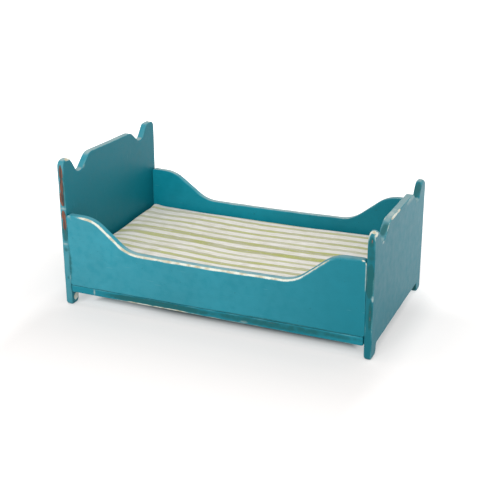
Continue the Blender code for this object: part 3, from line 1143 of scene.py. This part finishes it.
SEAM_RADIUS = 6.0
SEAM_IN = 0.1
SEAM_OUT = 0.55
SEAM_HALF = 0.45
SEAM_STEP = 0.8
PUCKER_STEPS = 3.25  # one pucker to each stitch
STITCH_STEP = 2.6
STITCH_LENGTH = 1.5
STITCH_RADIUS = 0.16
STITCH_OUT = 0.28
STITCH_ABOVE = 0.25
CLOSING_SLANT = 1.3
CLOSING_HALF = 30.0  # the hand-sewn stretch in the foot end


def seam_path(spacing):
    """Points and outward directions round the cushion at the height of its seam."""
    half_long, half_wide = COVER_HIGH[0] - SEAM_IN, COVER_HIGH[1] - SEAM_IN
    path = rounded_outline([
        (half_long, half_wide, SEAM_RADIUS), (half_long, -half_wide, SEAM_RADIUS),
        (-half_long, -half_wide, SEAM_RADIUS), (-half_long, half_wide, SEAM_RADIUS),
    ])
    even = evenly_spaced(path, spacing)
    return even, outward_normals(even)


def seam_mesh():
    """The turned-in edge where the two halves of the cover are sewn together."""
    path, out = seam_path(SEAM_STEP)
    sides = 8
    verts, faces = [], []
    for index, (point, normal) in enumerate(zip(path, out)):
        pucker = 0.12 * math.sin(index * math.tau / PUCKER_STEPS)
        pucker += 0.1 * waver((*point, 0), 5.0, 3.0)
        for side in range(sides):
            turn = math.tau * side / sides
            reach = SEAM_OUT * (0.4 + 0.6 * math.cos(turn)) + pucker * 0.5
            rise = SEAM_HALF * math.sin(turn) + pucker
            verts.append((point[0] + normal[0] * reach, point[1] + normal[1] * reach,
                          SEAM_HEIGHT + rise))
            after, other = (index + 1) % len(path), (side + 1) % sides
            faces.append((index * sides + side, after * sides + side,
                          after * sides + other, index * sides + other))
    mesh = bpy.data.meshes.new("mattress_seam")
    mesh.from_pydata((np.array(verts) * MM).tolist(), [], faces)
    mesh.shade_smooth()
    return mesh


def stitch_mesh():
    """Short stitches along the seam, slanted and closer where the foot end was closed."""
    path, out = seam_path(STITCH_STEP / 2)
    bm = bmesh.new()
    for index, (point, normal) in enumerate(zip(path, out)):
        closing = point[0] > COVER_HIGH[0] - 1 and abs(point[1]) < CLOSING_HALF
        if not closing and index % 2:
            continue
        level = SEAM_HEIGHT if closing else SEAM_HEIGHT + SEAM_HALF + STITCH_ABOVE
        reach = SEAM_OUT if closing else STITCH_OUT
        slant = CLOSING_SLANT if closing else 0.0
        centre = Vector((*(point + normal * reach), level)) * MM
        direction = Vector((-normal[1], normal[0], slant)).normalized()
        turned = direction.to_track_quat("Z", "Y").to_matrix().to_4x4()
        stretch = Matrix.Diagonal((1.0, 1.0, STITCH_LENGTH / (2 * STITCH_RADIUS), 1.0))
        bmesh.ops.create_icosphere(
            bm, subdivisions=1, radius=STITCH_RADIUS * MM,
            matrix=Matrix.Translation(centre) @ turned @ stretch,
        )
    mesh = bpy.data.meshes.new("mattress_stitches")
    bm.to_mesh(mesh)
    bm.free()
    mesh.shade_smooth()
    return mesh


COTTON = striped_cotton()
CUSHION = cushion()
cloth_layers(CUSHION)
CUSHION.data.shade_smooth()
CUSHION.data.materials.clear()
CUSHION.data.materials.append(COTTON)
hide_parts("mattress_cover", "mattress_filling")
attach(CUSHION, "mattress")

THREAD = cotton_thread()
add_piece("mattress_seam", seam_mesh(), THREAD, "mattress", "striped_cotton")
add_piece("mattress_stitches", stitch_mesh(), THREAD, "mattress", "striped_cotton")


# Floor, light and camera, in metres

FLOOR_HALF = 6.0
FLOOR_LEVEL = -0.00005
# Painted light and shadow on the table: its glow by distance from the bed's footprint
PAINTED_GLOW = (
    (-0.022, 0.0), (-0.0158, 0.0), (-0.0129, 0.20), (-0.010, 0.42), (-0.007, 0.45),
    (-0.002, 0.355), (0.006, 0.30), (0.013, 0.28), (0.030, 0.28), (0.070, 0.35),
    (0.120, 0.46), (0.200, 0.62),
)
END_GLOW = 0.14  # more of it beyond the ends of the bed
BACK_GLOW = 0.30  # and behind it
HEAD_GLOW = 0.13  # and under its head end


def painted_table_light(tree):
    """Painted light on the table: a glow that lights it from all round and paints the soft shadow
    round the bed.
    """
    coordinates = tree.nodes.new("ShaderNodeTexCoord")
    split = tree.nodes.new("ShaderNodeSeparateXYZ")
    tree.links.new(coordinates.outputs["Object"], split.inputs["Vector"])
    beyond = []
    for axis, half in ((0, CAD_BOUNDS[1][0]), (1, CAD_BOUNDS[1][1])):
        size = math_node(tree, "ABSOLUTE", split.outputs[axis])
        beyond.append(math_node(tree, "SUBTRACT", size, half))
    distance = math_node(tree, "MAXIMUM", *beyond)
    first, last = PAINTED_GLOW[0][0], PAINTED_GLOW[-1][0]
    share = tree.nodes.new("ShaderNodeMapRange")
    tree.links.new(distance, share.inputs["Value"])
    share.inputs["From Min"].default_value = first
    share.inputs["From Max"].default_value = last
    ramp = tree.nodes.new("ShaderNodeValToRGB")
    stops = ramp.color_ramp.elements
    stops.remove(stops[1])
    stops[0].color = (PAINTED_GLOW[0][1],) * 3 + (1.0,)
    for reach, level in PAINTED_GLOW[1:]:
        stops.new((reach - first) / (last - first)).color = (level,) * 3 + (1.0,)
    tree.links.new(share.outputs["Result"], ramp.inputs["Fac"])
    ends = step(tree, beyond[0], 0.0, 0.02, 0.0, END_GLOW)
    behind = step(tree, split.outputs[1], 0.01, 0.06, 0.0, BACK_GLOW)
    # painted light under the head end of the bed
    beneath = step(tree, distance, -0.011, -0.003, HEAD_GLOW, 0.0)
    at_head = step(tree, split.outputs[0], -0.060, -0.025, 1.0, 0.0)
    head = math_node(tree, "MULTIPLY", beneath, at_head)
    return total(tree, (ramp.outputs["Color"], 1.0), (ends, 1.0), (behind, 1.0), (head, 1.0))


floor_mesh = bpy.data.meshes.new("studio_floor")
floor_sides = ((-1, -1), (1, -1), (1, 1), (-1, 1))
floor_mesh.from_pydata(
    [(FLOOR_HALF * x, FLOOR_HALF * y, FLOOR_LEVEL) for x, y in floor_sides], [], [(0, 1, 2, 3)],
)
floor = bpy.data.objects.new("studio_floor", floor_mesh)
bpy.context.scene.collection.objects.link(floor)
floor_material, floor_tree, floor_shader = new_material("studio_floor_painted_light")
floor_shader.inputs["Base Color"].default_value = (0.52, 0.50, 0.49, 1.0)
# the floor glows as painted light, with the bed's shadow painted into it
floor_tree.links.new(painted_table_light(floor_tree), floor_shader.inputs["Emission Color"])
floor_shader.inputs["Emission Strength"].default_value = 1.0
floor_shader.inputs["Roughness"].default_value = 0.9
floor_shader.inputs["Specular IOR Level"].default_value = 0.1
floor_mesh.materials.append(floor_material)

WORLD_STRENGTH = 0.90
world = bpy.data.worlds.new("studio")
bpy.context.scene.world = world
world.use_nodes = True
background = world.node_tree.nodes["Background"]
background.inputs["Color"].default_value = (1.0, 1.0, 1.0, 1.0)
background.inputs["Strength"].default_value = WORLD_STRENGTH


def soft_light(name, place, aim, size, power):
    lamp = bpy.data.lights.new(name, "AREA")
    lamp.shape = "DISK"
    lamp.size = size
    lamp.energy = power
    lit = bpy.data.objects.new(name, lamp)
    bpy.context.scene.collection.objects.link(lit)
    lit.location = place
    lit.rotation_euler = (Vector(aim) - Vector(place)).to_track_quat("-Z", "Y").to_euler()


soft_light("key_light", (0.10, -0.50, 0.50), (0.0, 0.0, 0.03), 0.45, 2.8)

AZIMUTH = math.radians(22.85)
ELEVATION = math.radians(21.42)
CAMERA_PLACE = (0.20917, -0.49160, 0.23836)
camera_data = bpy.data.cameras.new("camera")
camera_data.sensor_width = 36.0
camera_data.lens = 71.56
camera_data.clip_start = 0.01
camera = bpy.data.objects.new("camera", camera_data)
bpy.context.scene.collection.objects.link(camera)
BACK = Vector((
    math.sin(AZIMUTH) * math.cos(ELEVATION),
    -math.cos(AZIMUTH) * math.cos(ELEVATION),
    math.sin(ELEVATION),
))
camera.location = CAMERA_PLACE
camera.rotation_euler = (-BACK).to_track_quat("-Z", "Y").to_euler()
bpy.context.scene.camera = camera
bpy.context.scene.view_settings.view_transform = "Standard"

bpy.context.view_layer.update()
